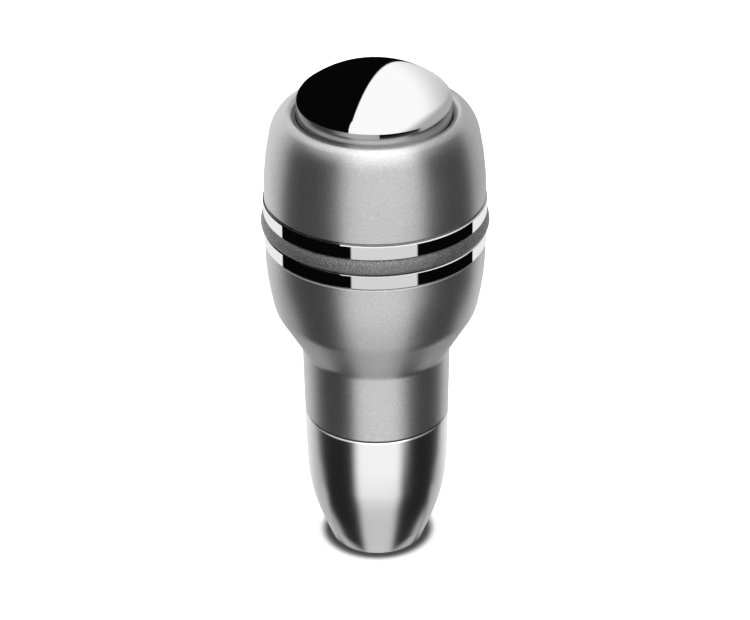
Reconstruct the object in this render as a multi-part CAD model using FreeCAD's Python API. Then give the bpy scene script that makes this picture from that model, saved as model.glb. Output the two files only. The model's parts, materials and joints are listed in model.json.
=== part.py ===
import FreeCAD, Part

# Gear shift knob for an automatic gearbox, with a push button in its top.
# Millimetres, +Z up. The origin is the centre of the round foot that the knob stands on.
# The lever comes in from below, through the collar, and the push rod works its release pin.

import math
import os

# Heights of the pieces that show, stacked from the foot up
collar_h = 32.5
lower_shell_h = 41.8
ring_h = 3.4
band_h = 3.35
upper_shell_h = 19.15
button_rise = 9.55

# The two sizes that the rest is built round: the lever, and the shells where the rings sit
sleeve_bore_r = 6.0
shell_r = 23.22

# Edges and clearances
edge = 0.25
running_fit = 0.05
thread_fit = 0.06
slip_fit = 0.05
seat_gap = 0.02

# Extra reach of a cutter past the piece that it cuts
spare = 1.0

# Adapter that the lever is clamped in, and its sleeve, each wall outside the one before
sleeve_wall = 1.5
sleeve_foot_z = 0.4
sleeve_slit = 1.2
barrel_wall = 3.35
nose_step = 1.7
boss_step = 1.6
flange_step = 1.7
adapter_foot_z = 2.8
nose_h = 6.4
boss_h = 10.6
flange_h = 2.5
flange_rise = 1.0
spigot_wall = 2.95
spigot_h = 6.5
socket_depth = 13.6

# Grub screws round the barrel
screw_count = 3
screw_r = 1.95
screw_drop = 5.8
key_flats = 2.0
key_floor = 1.53

# Collar: its wall at the seam, and how far its outline draws in from the seam
collar_lip = 1.1
collar_recess_gap = 0.3
collar_wall = 1.9
collar_floor = 2.2
collar_floor_flare = 2.0
collar_thread_h = 7.9
mouth_gap = 0.25
foot_land = 2.5
waist_in = 0.4
waist_drop = 14.0
nose_in = 2.38
nose_level = 8.2

# O-ring between the collar's step and the adapter's flange
o_ring_wire_r = 0.78
o_ring_gap = 0.17

# Lower shell: a neck, a straight cone and a bowl
shell_wall = 2.0
neck_flare = 0.27
throat_h = 16.2
throat_round = 3.0
belly_in = 1.72
belly_h = 25.9
belly_round = 8.0
belly_lean = 12.5

# Rings and band, and how far up its height the band is fullest
ring_proud = 0.2
band_proud = 0.53
band_tuck = 0.5
band_swell = 0.3

# Carrier that the rings and the band slip over
rim_cover = 1.62
rim_wall = 2.1
rim_below = 3.8
rim_above = 3.4
web_h = 3.0

# Core tube, its nut and washer
core_r = 9.0
core_wall = 2.6
core_spare = 0.4
nut_wall = 3.0
nut_h = 5.0
washer_wall = 4.2
washer_h = 1.0
washer_slit = 1.2

# Upper shell: shoulder, brow, crest and the dished lip round the button
button_inset = 7.17
button_gap = 0.2
shoulder_in = 1.46
shoulder_h = 14.35
brow_in = 3.32
brow_h = 18.2
crest_w = 1.6
lip_drop = 0.85
shell_roof = 2.0
shell_land = 1.0

# Button
crown_r = 24.0
button_edge_r = 3.0
button_travel = 6.0
button_wall = 1.8
spring_seat_depth = 8.2
boss_wall = 1.55
boss_drop = 5.5
rod_socket_h = 2.0

# Guide that the button slides in
guide_wall = 1.9
guide_floor = 2.0
guide_seat = 1.0
guide_floor_room = 1.34
nut_room = 1.34

# Push rod, its foot and its clip
rod_r = 3.0
lever_well_h = 25.6
rod_foot_fit = 0.08
rod_foot_h = 7.0
rod_foot_floor = 2.0
rod_foot_wall = 0.9
clip_lip = 2.2
clip_h = 0.9
clip_mouth = 4.1
clip_groove = 0.6

# Return spring
spring_wire_r = 0.55
spring_room = 0.95
spring_turns = 6.0

# Radii worked out from the lever outwards
sleeve_r = sleeve_bore_r + sleeve_wall
barrel_r = sleeve_r + slip_fit + barrel_wall
nose_r = barrel_r - nose_step
boss_r = barrel_r + boss_step
flange_r = boss_r + flange_step
recess_r = flange_r + collar_recess_gap
seam_r = recess_r + collar_lip
neck_r = seam_r + neck_flare
waist_r = seam_r - waist_in
collar_nose_r = seam_r - nose_in
mouth_r = sleeve_r + mouth_gap
foot_r = mouth_r + foot_land
core_bore_r = core_r - core_wall
spigot_r = core_r + slip_fit + spigot_wall
nut_flats = 2 * (core_r + nut_wall)
nut_corner_r = nut_flats / math.sqrt(3)
washer_r = core_r + washer_wall

# Radii worked out from the shells inwards and outwards
ring_r = shell_r + ring_proud
band_r = ring_r + band_proud
belly_r = shell_r - belly_in
shoulder_r = shell_r - shoulder_in
brow_r = shell_r - brow_in
rim_r = shell_r - rim_cover
button_r = shell_r - button_inset
lip_r = button_r + button_gap
crest_r = lip_r + crest_w
guide_r = button_r + running_fit + guide_wall
guide_skirt_r = nut_corner_r + nut_room
rod_foot_r = core_bore_r - rod_foot_fit
button_boss_r = rod_r + slip_fit + boss_wall
spring_coil_r = button_boss_r + spring_wire_r + spring_room
spring_seat_r = spring_coil_r + spring_wire_r + spring_room

# Levels worked out from the stack
seam_z = collar_h
lower_ring_z = seam_z + lower_shell_h
band_z = lower_ring_z + ring_h
upper_ring_z = band_z + band_h
upper_shell_z = upper_ring_z + ring_h
shell_top_z = upper_shell_z + upper_shell_h
button_top_z = shell_top_z + button_rise

flange_top_z = seam_z + flange_rise
flange_z = flange_top_z - flange_h
boss_z = flange_z - boss_h
screw_z = boss_z - screw_drop
waist_z = seam_z - waist_drop
core_z = flange_top_z + spigot_h - socket_depth
o_ring_space = 2 * (o_ring_wire_r + seat_gap)

rim_z = lower_ring_z - rim_below
rim_top_z = upper_shell_z + rim_above
web_z = band_z + seat_gap
web_top_z = web_z + web_h
nut_z = web_top_z + washer_h
core_top_z = nut_z + nut_h + core_spare

lip_z = shell_top_z - lip_drop
roof_z = shell_top_z - shell_roof
guide_floor_z = core_top_z + guide_floor_room
guide_floor_top_z = guide_floor_z + guide_floor
button_foot_z = guide_floor_top_z + button_travel + 2 * seat_gap
spring_seat_top_z = button_top_z - spring_seat_depth
rod_foot_z = core_z + lever_well_h


def at(r, z):
    return FreeCAD.Vector(r, 0, z)


class Outline:
    """Half of a turned piece's section, drawn from point to point in radius and height."""

    def __init__(self, r, z):
        self.start = self.here = (r, z)
        self.heading = math.pi / 2
        self.edges = []

    def line(self, *points):
        """Straight runs to each point in turn."""
        for r, z in points:
            across = r - self.here[0]
            up = z - self.here[1]
            if math.hypot(across, up) > 1e-6:
                self.edges.append(Part.makeLine(at(*self.here), at(r, z)))
                self.heading = math.atan2(up, across)
                self.here = (r, z)
        return self

    def face(self, across, up):
        """Turns to a new direction, for an arc that doesn't carry on from the last run."""
        self.heading = math.atan2(up, across)
        return self

    def arc(self, *points):
        """Arcs to each point in turn, each leaving in the direction that the last run ended in."""
        for r, z in points:
            across = r - self.here[0]
            up = z - self.here[1]
            turn = math.remainder(math.atan2(up, across) - self.heading, 2 * math.pi)
            if abs(turn) < 1e-4:
                self.line((r, z))
                continue
            half = math.hypot(across, up) / 2 / math.cos(turn / 2)
            way = self.heading + turn / 2
            middle = at(self.here[0] + half * math.cos(way), self.here[1] + half * math.sin(way))
            self.edges.append(Part.Arc(at(*self.here), middle, at(r, z)).toShape())
            self.heading += 2 * turn
            self.here = (r, z)
        return self

    def bend(self, r, z, radius, heading):
        """A straight run that turns to a new heading at r, z, rounded off to radius."""
        inward = math.atan2(z - self.here[1], r - self.here[0])
        back = radius * math.tan(abs(heading - inward) / 2)
        self.line((r - back * math.cos(inward), z - back * math.sin(inward)))
        return self.arc((r + back * math.cos(heading), z + back * math.sin(heading)))

    def turned(self):
        """Closes the section and turns it about the knob's axis."""
        self.line(self.start)
        face = Part.Face(Part.Wire(self.edges))
        return face.revolve(FreeCAD.Vector(), FreeCAD.Vector(0, 0, 1), 360)


def tube(outer_r, inner_r, z, height):
    solid = Part.makeCylinder(outer_r, height, FreeCAD.Vector(0, 0, z))
    if inner_r:
        solid = solid.cut(Part.makeCylinder(inner_r, height, FreeCAD.Vector(0, 0, z)))
    return solid


def hexagon(flats, z, height):
    """An upright hexagonal bar about the knob's axis."""
    corner_r = flats / math.sqrt(3)
    angles = [math.radians(60 * k) for k in range(7)]
    corners = [FreeCAD.Vector(corner_r * math.cos(a), corner_r * math.sin(a), z) for a in angles]
    return Part.Face(Part.makePolygon(corners)).extrude(FreeCAD.Vector(0, 0, height))


def slit(width, reach, z, height):
    """A radial cutter from the axis out along +X."""
    return Part.makeBox(reach, width, height, FreeCAD.Vector(0, -width / 2, z))


def push_button():
    """A domed cap with a guide skirt, a spring seat and a boss that the rod screws into."""
    crown_z = button_top_z - crown_r
    edge_centre_r = button_r - button_edge_r
    reach = crown_r - button_edge_r
    edge_centre_z = crown_z + math.sqrt(reach**2 - edge_centre_r**2)
    blend_r = edge_centre_r * crown_r / reach
    blend_z = crown_z + (edge_centre_z - crown_z) * crown_r / reach
    inner_r = button_r - button_wall
    vault_r = crown_r - button_wall
    vault_z = crown_z + math.sqrt(vault_r**2 - spring_seat_r**2)
    vault_blend_r = edge_centre_r * vault_r / reach
    vault_blend_z = crown_z + (edge_centre_z - crown_z) * vault_r / reach
    return (
        Outline(0, button_top_z)
        .line((0, spring_seat_top_z + rod_socket_h), (rod_r + slip_fit, spring_seat_top_z + rod_socket_h))
        .line((rod_r + slip_fit, spring_seat_top_z - boss_drop))
        .line((button_boss_r, spring_seat_top_z - boss_drop), (button_boss_r, spring_seat_top_z))
        .line((spring_seat_r, spring_seat_top_z), (spring_seat_r, vault_z))
        .face(vault_z - crown_z, -spring_seat_r)
        .arc((vault_blend_r, vault_blend_z), (inner_r, edge_centre_z))
        .line((inner_r, button_foot_z))
        .line((button_r - edge, button_foot_z), (button_r, button_foot_z + edge))
        .line((button_r, edge_centre_z))
        .arc((blend_r, blend_z), (0, button_top_z))
        .turned()
    )


def push_rod():
    """The rod from the button's boss down to the lever's release pin, grooved for its clip."""
    top_z = spring_seat_top_z + rod_socket_h - seat_gap
    groove_z = guide_floor_z - seat_gap - clip_h - seat_gap
    rod = tube(rod_r, 0, rod_foot_z, top_z - rod_foot_z)
    groove = tube(rod_r + spare, rod_r - clip_groove, groove_z, clip_h + 2 * seat_gap)
    rod = rod.cut(groove)
    rims = [e for e in rod.Edges if e.Closed and abs(e.BoundBox.ZMin - top_z) < seat_gap]
    return rod.makeChamfer(2 * edge, rims)


def rod_foot():
    """The moulded foot that runs in the core tube and presses on the lever's pin."""
    bottom_z = rod_foot_z - rod_foot_floor
    socket_r = rod_r + slip_fit
    return (
        Outline(0, bottom_z)
        .line((rod_foot_r - 3 * edge, bottom_z), (rod_foot_r, bottom_z + 3 * edge))
        .line((rod_foot_r, bottom_z + rod_foot_h / 2))
        .line((socket_r + rod_foot_wall, bottom_z + rod_foot_h), (socket_r, bottom_z + rod_foot_h))
        .line((socket_r, rod_foot_z), (0, rod_foot_z))
        .turned()
    )


def rod_clip():
    """The open clip under the guide's floor that keeps the button in."""
    z = guide_floor_z - seat_gap - clip_h
    clip_r = rod_r + clip_lip
    clip = tube(clip_r, rod_r - clip_groove + seat_gap, z, clip_h)
    return clip.cut(slit(clip_mouth, clip_r + spare, z, clip_h))


def return_spring():
    """A compression spring with ground ends, between the guide's floor and the button's seat."""
    low_z = guide_floor_top_z + seat_gap
    high_z = spring_seat_top_z - seat_gap
    rise = high_z - low_z
    path = Part.makeHelix(rise / spring_turns, rise, spring_coil_r)
    ring = Part.makeCircle(spring_wire_r, FreeCAD.Vector(spring_coil_r, 0, 0), FreeCAD.Vector(0, 1, 0))
    wire = path.makePipeShell([Part.Wire(ring)], True, False)
    wire.translate(FreeCAD.Vector(0, 0, low_z))
    return wire.common(tube(spring_coil_r + spare, 0, low_z, rise)).Solids[0]


def button_guide():
    """The plastic guide for the button's skirt. It stands on the carrier's web, round the nut."""
    top_z = roof_z - seat_gap
    inner_r = button_r + running_fit
    return (
        Outline(rod_r + running_fit, guide_floor_z)
        .line((guide_skirt_r, guide_floor_z), (guide_skirt_r, web_top_z), (guide_r, web_top_z))
        .line((guide_r, top_z - edge), (guide_r - edge, top_z), (inner_r + edge, top_z))
        .line((inner_r, top_z - edge), (inner_r, guide_floor_top_z))
        .line((rod_r + running_fit, guide_floor_top_z))
        .turned()
    )


def upper_shell():
    """The satin shoulder: slightly domed sides, a round brow and a dished top round the button."""
    bore_r = rim_r + thread_fit
    inner_r = bore_r - shell_land
    seat_r = guide_r + slip_fit
    seat_z = roof_z - guide_seat
    foot_z = upper_shell_z
    return (
        Outline(bore_r, foot_z)
        .line((shell_r - edge, foot_z), (shell_r, foot_z + edge))
        .face(0, 1)
        .arc((shoulder_r, foot_z + shoulder_h), (brow_r, foot_z + brow_h), (crest_r, shell_top_z))
        .arc((lip_r, lip_z))
        .line((lip_r, roof_z), (seat_r, roof_z), (seat_r, seat_z))
        .line((seat_r + edge, seat_z), (shoulder_r - shell_wall, foot_z + shoulder_h - shell_wall / 2))
        .line((inner_r, rim_top_z + seat_gap), (bore_r, rim_top_z + seat_gap))
        .turned()
    )


def trim_ring(z):
    """A polished ring with bevelled edges that slips over the carrier's rim."""
    top_z = z + ring_h
    bore_r = rim_r + slip_fit
    return (
        Outline(bore_r, z)
        .line((ring_r - edge, z), (ring_r, z + edge), (ring_r, top_z - edge))
        .line((ring_r - edge, top_z), (bore_r, top_z))
        .turned()
    )


def grip_band():
    """The leather band, full in the middle and tucked in at both rings."""
    bore_r = rim_r + slip_fit
    edge_r = ring_r - band_tuck
    low_z = band_z + seat_gap
    high_z = upper_ring_z - seat_gap
    swell_z = low_z + band_swell * band_h
    return (
        Outline(bore_r, low_z)
        .line((edge_r, low_z))
        .face(1, 0)
        .arc((band_r, swell_z))
        .face(0, 1)
        .arc((edge_r, high_z))
        .line((bore_r, high_z))
        .turned()
    )


def lower_shell():
    """The satin neck and bowl, hollow, with a seat for the adapter and one for the carrier."""
    bore_r = rim_r + slip_fit
    step_r = rim_r - rim_wall
    inner_neck_r = neck_r - shell_wall
    seat_r = spigot_r + slip_fit
    spigot_top_z = flange_top_z + spigot_h
    throat_z = seam_z + throat_h
    belly_z = seam_z + belly_h
    cone = math.atan2(belly_z - throat_z, belly_r - neck_r)
    side = math.radians(90 - belly_lean)
    return (
        Outline(flange_r + slip_fit, seam_z + seat_gap)
        .line((seam_r - edge, seam_z + seat_gap), (seam_r, seam_z + edge))
        .bend(neck_r, throat_z, throat_round, cone)
        .bend(belly_r, belly_z, belly_round, side)
        .arc((shell_r, lower_ring_z - edge))
        .line((shell_r - edge, lower_ring_z), (bore_r, lower_ring_z), (bore_r, rim_z))
        .line((step_r, rim_z), (step_r, belly_z + shell_wall))
        .line((inner_neck_r, throat_z + shell_wall), (inner_neck_r, spigot_top_z + shell_wall))
        .line((seat_r, spigot_top_z))
        .line((seat_r, flange_top_z), (flange_r + slip_fit, flange_top_z))
        .turned()
    )


def band_carrier():
    """The spool under the rings and the band. Its web takes the pull of the core tube's nut."""
    inner_r = rim_r - rim_wall
    hub_r = core_r + slip_fit
    return (
        Outline(inner_r, rim_z)
        .line((rim_r - edge, rim_z), (rim_r, rim_z + edge), (rim_r, rim_top_z - edge))
        .line((rim_r - edge, rim_top_z), (inner_r, rim_top_z), (inner_r, web_top_z))
        .line((hub_r, web_top_z), (hub_r, web_z), (inner_r, web_z))
        .turned()
    )


def core_tube():
    """The threaded tube that ties the whole stack to the adapter."""
    return (
        Outline(core_bore_r, core_z)
        .line((core_r - edge, core_z), (core_r, core_z + edge), (core_r, core_top_z - edge))
        .line((core_r - edge, core_top_z), (core_bore_r, core_top_z))
        .turned()
    )


def lock_washer():
    """A split washer under the nut."""
    washer = tube(washer_r, core_r + slip_fit, web_top_z, washer_h)
    return washer.cut(slit(washer_slit, washer_r + spare, web_top_z, washer_h))


def clamp_nut():
    """The nut on top of the core tube, its corners turned off at the top."""
    cone = Part.makeCone(nut_corner_r + nut_h, nut_flats / 2, nut_h + nut_corner_r - nut_flats / 2)
    cone.translate(FreeCAD.Vector(0, 0, nut_z))
    blank = hexagon(nut_flats, nut_z, nut_h).common(cone)
    return blank.cut(tube(core_r + slip_fit, 0, nut_z, nut_h))


def lever_adapter():
    """The hub that takes the lever: barrel for the grub screws, thread for the collar, flange."""
    bore_r = sleeve_r + slip_fit
    hub = (
        Outline(bore_r, adapter_foot_z)
        .line((nose_r - 2 * edge, adapter_foot_z), (nose_r, adapter_foot_z + 2 * edge))
        .line((nose_r, adapter_foot_z + nose_h))
        .line((barrel_r, adapter_foot_z + nose_h + barrel_r - nose_r))
        .line((barrel_r, boss_z), (boss_r - 2 * edge, boss_z), (boss_r, boss_z + 2 * edge))
        .line((boss_r, flange_z), (flange_r, flange_z), (flange_r, flange_top_z))
        .line((spigot_r, flange_top_z), (spigot_r, flange_top_z + spigot_h - edge))
        .line((spigot_r - edge, flange_top_z + spigot_h))
        .line((core_r + slip_fit, flange_top_z + spigot_h), (core_r + slip_fit, core_z))
        .line((bore_r, core_z))
        .turned()
    )
    for k in range(screw_count):
        hub = hub.cut(screw_bar(k, screw_r + slip_fit, 0, barrel_r + spare))
    return hub


def screw_bar(k, radius, start_r, end_r):
    """A round bar along the axis of grub screw k."""
    angle = math.radians(90 + 360 * k / screw_count)
    way = FreeCAD.Vector(math.cos(angle), math.sin(angle), 0)
    start = way * start_r + FreeCAD.Vector(0, 0, screw_z)
    return Part.makeCylinder(radius, end_r - start_r, start, way)


def grub_screw(k):
    """Grub screw k, with a hexagon socket, tightened on the sleeve."""
    tip_r = sleeve_r + seat_gap
    head_r = barrel_r - edge
    key_depth = head_r - tip_r - key_floor
    screw = screw_bar(k, screw_r, tip_r, head_r)
    key = hexagon(key_flats, 0, key_depth)
    key.rotate(FreeCAD.Vector(), FreeCAD.Vector(0, 1, 0), 90)
    key.translate(FreeCAD.Vector(head_r - key_depth, 0, screw_z))
    key.rotate(FreeCAD.Vector(), FreeCAD.Vector(0, 0, 1), 90 + 360 * k / screw_count)
    return screw.cut(key)


def lever_sleeve():
    """The slit plastic sleeve that closes on the lever when the grub screws are tightened."""
    height = core_z - seat_gap - sleeve_foot_z
    sleeve = tube(sleeve_r, sleeve_bore_r, sleeve_foot_z, height)
    return sleeve.cut(slit(sleeve_slit, sleeve_r + spare, sleeve_foot_z, height))


def collar():
    """The bullet-shaped collar. It screws up over the adapter and hides the grub screws."""
    step_z = flange_z - o_ring_space
    thread_z = step_z - collar_thread_h
    thread_r = boss_r + thread_fit
    return (
        Outline(seam_r - edge, seam_z - seat_gap)
        .line((seam_r, seam_z - edge))
        .face(0, -1)
        .arc((waist_r, waist_z), (collar_nose_r, nose_level), (foot_r, edge))
        .line((foot_r - edge, 0), (mouth_r + edge, 0), (mouth_r, edge), (mouth_r, collar_floor))
        .line((foot_r - edge, collar_floor))
        .face(1, collar_floor_flare)
        .arc((collar_nose_r - collar_wall, nose_level), (waist_r - collar_wall, waist_z))
        .line((waist_r - collar_wall, thread_z), (thread_r + edge, thread_z))
        .line((thread_r, thread_z + edge), (thread_r, step_z), (recess_r, step_z))
        .line((recess_r, seam_z - seat_gap))
        .turned()
    )


def collar_o_ring():
    """The rubber ring that keeps the collar from working loose."""
    z = flange_z - seat_gap - o_ring_wire_r
    return Part.makeTorus(boss_r + o_ring_gap + o_ring_wire_r, o_ring_wire_r, FreeCAD.Vector(0, 0, z))


def pieces():
    """Every piece of the knob by name."""
    made = {
        "push_button": push_button(),
        "push_rod": push_rod(),
        "rod_foot": rod_foot(),
        "rod_clip": rod_clip(),
        "return_spring": return_spring(),
        "button_guide": button_guide(),
        "upper_shell": upper_shell(),
        "grip_band": grip_band(),
        "lower_shell": lower_shell(),
        "band_carrier": band_carrier(),
        "core_tube": core_tube(),
        "lock_washer": lock_washer(),
        "clamp_nut": clamp_nut(),
        "lever_adapter": lever_adapter(),
        "lever_sleeve": lever_sleeve(),
        "collar": collar(),
        "collar_o_ring": collar_o_ring(),
    }
    for name, z in (("lower_trim_ring", lower_ring_z), ("upper_trim_ring", upper_ring_z)):
        made[name] = trim_ring(z)
    for k in range(screw_count):
        made[f"grub_screw_{k + 1}"] = grub_screw(k)
    return made


def main():
    os.makedirs("parts", exist_ok=True)
    for name, shape in pieces().items():
        if shape.ShapeType == "Compound" and len(shape.Solids) == 1:
            shape = shape.Solids[0]
        shape.exportStep(f"parts/{name}.step")
        box = shape.BoundBox
        print(
            f"{name:16} solids {len(shape.Solids)} valid {shape.isValid()} volume {shape.Volume:9.1f}"
            f"  r {box.XMax:6.2f}  z {box.ZMin:7.2f} to {box.ZMax:7.2f}"
        )


main()
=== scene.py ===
import json
import math

import bmesh
import bpy
import numpy as np
from mathutils import Matrix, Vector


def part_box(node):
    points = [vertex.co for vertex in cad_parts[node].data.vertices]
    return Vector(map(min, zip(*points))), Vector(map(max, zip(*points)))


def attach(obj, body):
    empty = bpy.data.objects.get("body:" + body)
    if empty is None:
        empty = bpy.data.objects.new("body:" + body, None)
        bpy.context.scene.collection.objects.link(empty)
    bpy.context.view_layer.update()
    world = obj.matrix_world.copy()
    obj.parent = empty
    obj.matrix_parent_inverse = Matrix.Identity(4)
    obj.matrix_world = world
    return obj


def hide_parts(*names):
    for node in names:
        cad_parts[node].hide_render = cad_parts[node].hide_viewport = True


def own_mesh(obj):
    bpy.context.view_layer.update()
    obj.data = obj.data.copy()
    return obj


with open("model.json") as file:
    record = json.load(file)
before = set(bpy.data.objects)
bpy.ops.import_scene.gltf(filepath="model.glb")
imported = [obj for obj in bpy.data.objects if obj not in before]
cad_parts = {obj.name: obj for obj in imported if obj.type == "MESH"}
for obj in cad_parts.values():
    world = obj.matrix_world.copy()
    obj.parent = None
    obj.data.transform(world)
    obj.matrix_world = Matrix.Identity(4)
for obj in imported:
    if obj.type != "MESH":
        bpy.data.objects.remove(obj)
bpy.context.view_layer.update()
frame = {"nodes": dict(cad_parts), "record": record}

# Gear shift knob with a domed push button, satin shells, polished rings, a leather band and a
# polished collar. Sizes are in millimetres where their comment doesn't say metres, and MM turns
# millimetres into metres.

MM = 0.001

# Camera: width and focal length in pixels, sensor in millimetres, and places in metres
PICTURE_W = 750
FOCAL_PX = 2571
SENSOR = 36
NEAREST = 0.01
VIEW_DISTANCE = 0.55
VIEW_ELEVATION = math.radians(29.9)
VIEW_ROLL = math.radians(-0.494)
VIEW_AIM = (-0.0002, 0, 0.0563)

# Fineness: steps round a turned piece, along a turn of thread or coil, and round the wire, the
# angle of an arc's step, and the angle from which an edge is sharp
TURN_STEPS = 240
THREAD_STEPS = 64
COIL_STEPS = 40
WIRE_STEPS = 16
ARC_STEP = math.radians(4)
SHARP = math.radians(24)

# A run in millimetres and a turn in radians that count as none, and a distance in metres that
# makes two points one
NO_RUN = 1e-6
NO_TURN = 1e-4
SAME_POINT = 1e-7

# Edge breaks
EDGE = 0.25
FINE_EDGE = 0.12
RING_EDGE = 0.18

# Wall of a ring outside the carrier that it sits on, and the upper shell's slip on the carrier
RING_WALL = 1.77
CARRIER_SLIP = 0.012

# Joint lines: the gap over each ring and the collar, and the shells' broken edges beside it
JOINT_GAP = 0.2
JOINT_EDGE = 0.38

# Button: crown, rounded edge, wall, spring seat, and boss for the rod
CROWN_R = 24.0
CROWN_EDGE_R = 3.0
BUTTON_WALL = 1.8
SPRING_SEAT_R = 7.6
SPRING_SEAT_DROP = 8.2
ROD_SOCKET_R = 3.05
ROD_SOCKET_H = 2.0
BUTTON_BOSS_R = 4.6
BUTTON_BOSS_DROP = 5.5

# Upper shell: radius and height above its foot, the dished lip round the button, and the inside
SHOULDER = (21.76, 14.35)
BROW = (19.9, 18.2)
LIP_GAP = 0.2
CREST_W = 1.6
LIP_DROP = 0.85
ROOF_DROP = 2.0
GUIDE_SEAT_R = 18.05
GUIDE_SEAT_H = 1.0
SHELL_WALL = 2.0
SHELL_LAND = 1.0
SHELL_SOCKET_H = 3.42

# Lower shell: radius and height above its foot, and its seats for the adapter and the carrier
THROAT = (15.87, 16.2)
THROAT_ROUND = 3.0
BELLY = (21.5, 25.9)
BELLY_ROUND = 8.0
BELLY_LEAN = math.radians(12.5)
SEAM_R = 15.6
FLANGE_SEAT_R = 14.25
FLANGE_SEAT_H = 0.98
SPIGOT_SEAT_R = 12.05
SPIGOT_SEAT_H = 7.48
CARRIER_SEAT_H = 3.8
CARRIER_STEP = 2.15

# Collar: radius and height above its foot, then the foot itself and the inside
WAIST = (15.2, 18.5)
NOSE = (13.22, 8.2)
COLLAR_FOOT_R = 10.25
COLLAR_MOUTH_R = 7.75
COLLAR_WALL = 1.9
COLLAR_FLOOR = 2.2
COLLAR_RECESS_R = 14.5
COLLAR_RECESS_H = 3.08
COLLAR_THREAD_R = 12.56
COLLAR_THREAD_H = 7.9

# Thread between the collar and the adapter's boss. The ridge starts THREAD_BASE under its root,
# and a point belongs to the boss's wall if it lies within BOSS_NEAR of the boss's radius.
THREAD_PITCH = 1.5
THREAD_DEPTH = 0.52
THREAD_BASE = 0.05
THREAD_ROOT_W = 0.8
THREAD_CREST_W = 0.2
RUN_OUT_TURNS = 0.35
RUN_OUT_SHARE = 0.05
BOSS_R = 12.5
BOSS_NEAR = 0.025
BOSS_FOOT_Z = 20.4
BOSS_TOP_Z = 31.0
BOSS_THREAD_Z = 21.3
BOSS_THREAD_TURNS = 4.9
COLLAR_THREAD_TURNS = 4.4

# Band: how far it tucks in at the rings, and how far up it is fullest
BAND_TUCK = 0.5
BAND_SWELL = 0.3

# Return spring between the guide and the button: the coil's radius, the wire's radius and its turns
COIL_R = 6.1
WIRE_R = 0.55
COIL_TURNS = 7.0


class Outline:
    """A turned piece's section as points of radius and height, in millimetres."""

    def __init__(self, r, z):
        self.points = [(r, z)]
        self.heading = math.pi / 2

    def line(self, *points):
        for r, z in points:
            last_r, last_z = self.points[-1]
            if math.hypot(r - last_r, z - last_z) > NO_RUN:
                self.heading = math.atan2(z - last_z, r - last_r)
                self.points.append((r, z))
        return self

    def face(self, across, up):
        """Turns to a new direction, for an arc that doesn't carry on from the last run."""
        self.heading = math.atan2(up, across)
        return self

    def arc(self, *points):
        """Arcs to each point in turn, each leaving in the direction that the last run ended in."""
        for r, z in points:
            start_r, start_z = self.points[-1]
            chord = math.atan2(z - start_z, r - start_r)
            turn = 2 * math.remainder(chord - self.heading, 2 * math.pi)
            if abs(turn) < NO_TURN:
                self.line((r, z))
                continue
            steps = max(2, math.ceil(abs(turn) / ARC_STEP))
            reach = math.hypot(r - start_r, z - start_z) / math.sin(turn / 2)
            for k in range(1, steps + 1):
                part = turn * k / steps / 2
                share = reach * math.sin(part)
                way = self.heading + part
                self.points.append((start_r + share * math.cos(way), start_z + share * math.sin(way)))
            self.heading += turn
        return self

    def bend(self, r, z, radius, heading):
        """A straight run that turns to a new heading at r, z, rounded off to radius."""
        last_r, last_z = self.points[-1]
        inward = math.atan2(z - last_z, r - last_r)
        back = radius * math.tan(abs(heading - inward) / 2)
        self.line((r - back * math.cos(inward), z - back * math.sin(inward)))
        return self.arc((r + back * math.cos(heading), z + back * math.sin(heading)))


def levels(node):
    """A node's outside radius, its lowest level and its highest level, in millimetres."""
    low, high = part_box(node)
    return high[0] / MM, low[2] / MM, high[2] / MM


def add_piece(name, mesh):
    """A piece with smooth faces, and sharp edges where it has them."""
    piece = bpy.data.objects.new(name, mesh)
    bpy.context.scene.collection.objects.link(piece)
    mesh.shade_smooth()
    mesh.set_sharp_from_angle(angle=SHARP)
    return piece


def lathe(name, outline):
    """Turns a section into a closed mesh."""
    section = np.array(outline.points) * MM
    if np.allclose(section[0], section[-1]):
        section = section[:-1]
    count = len(section)
    angles = np.linspace(0, 2 * math.pi, TURN_STEPS, endpoint=False)
    on_axis = section[:, 0] < SAME_POINT
    first = []
    points = []
    for k, (r, z) in enumerate(section):
        first.append(len(points))
        if on_axis[k]:
            points.append((0.0, 0.0, z))
        else:
            points.extend((r * math.cos(a), r * math.sin(a), z) for a in angles)
    faces = []
    for k in range(count):
        there_k = (k + 1) % count
        here, there = first[k], first[there_k]
        if on_axis[k] and on_axis[there_k]:
            continue
        for j in range(TURN_STEPS):
            n = (j + 1) % TURN_STEPS
            if on_axis[k]:
                faces.append((here, there + n, there + j))
            elif on_axis[there_k]:
                faces.append((here + j, here + n, there))
            else:
                faces.append((here + j, here + n, there + n, there + j))
    mesh = bpy.data.meshes.new(name)
    mesh.from_pydata(points, [], faces)
    mesh.validate()
    ahead = np.roll(section, -1, axis=0)
    if np.sum(section[:, 0] * ahead[:, 1] - ahead[:, 0] * section[:, 1]) < 0:
        mesh.flip_normals()
    return add_piece(name, mesh)


def body_of(node):
    return next(b for b, nodes in frame["record"]["behaviour"]["bodies"].items() if node in nodes)


def fit(piece, node, material, stands_for=True):
    """Gives a finished piece its material and its node's body, and puts it in the node's place."""
    piece.data.materials.clear()
    piece.data.materials.append(material)
    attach(piece, body_of(node))
    if stands_for:
        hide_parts(node)


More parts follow.
